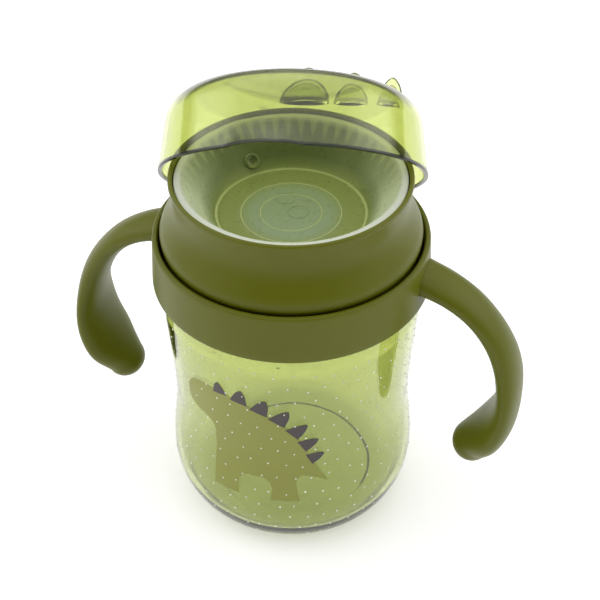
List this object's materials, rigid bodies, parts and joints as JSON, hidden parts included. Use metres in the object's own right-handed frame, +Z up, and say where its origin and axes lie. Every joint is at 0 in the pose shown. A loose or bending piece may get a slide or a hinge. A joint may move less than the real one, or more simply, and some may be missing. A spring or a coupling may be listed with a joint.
{
  "type": "sippy cup",
  "caption": "Clear green trainer cup with a handle collar, a drinking ring around a silicone valve, and a clear travel cap leaning on its rim",
  "frame": {"origin": "on the cup's own axis, level with the underside of the base", "axes": "+Z up along the cup's axis, +X through the middle of one handle, -Y the front of the cup"},
  "size_m": [0.1382, 0.092, 0.14],
  "materials": {
    "clear_copolyester": "clear, green tint",
    "collar_polypropylene": "fine satin",
    "ring_polypropylene": "fine satin",
    "silicone": "translucent, satin",
    "carrier_polypropylene": "satin",
    "clear_cap_plastic": "clear, green tint"
  },
  "bodies": {
    "cup": {"cup_body": "clear_copolyester", "handle_collar": "collar_polypropylene"},
    "valve_unit": {"silicone_valve": "silicone", "valve_carrier": "carrier_polypropylene"},
    "ring": {"drinking_ring": "ring_polypropylene"},
    "cap": {"travel_cap": "clear_cap_plastic"}
  },
  "joints": [
    {"name": "lid_lift", "type": "slide", "parent": "cup", "child": "valve_unit", "axis": [0, 0, 1], "range_m": [0, 0.0045]},
    {"name": "ring_turn", "type": "hinge", "parent": "valve_unit", "child": "ring", "pos_m": [0, 0, 0.1], "axis": [0, 0, 1], "range_deg": [0, 400]},
    {"name": "cap_lift", "type": "slide", "parent": "valve_unit", "child": "cap", "axis": [-0.2121, 0.6937, 0.6884], "range_m": [0, 0.08]}
  ],
  "couplings": [
    {"joint": "lid_lift", "follows": "ring_turn", "m_per_rad": 0.00063662}
  ]
}
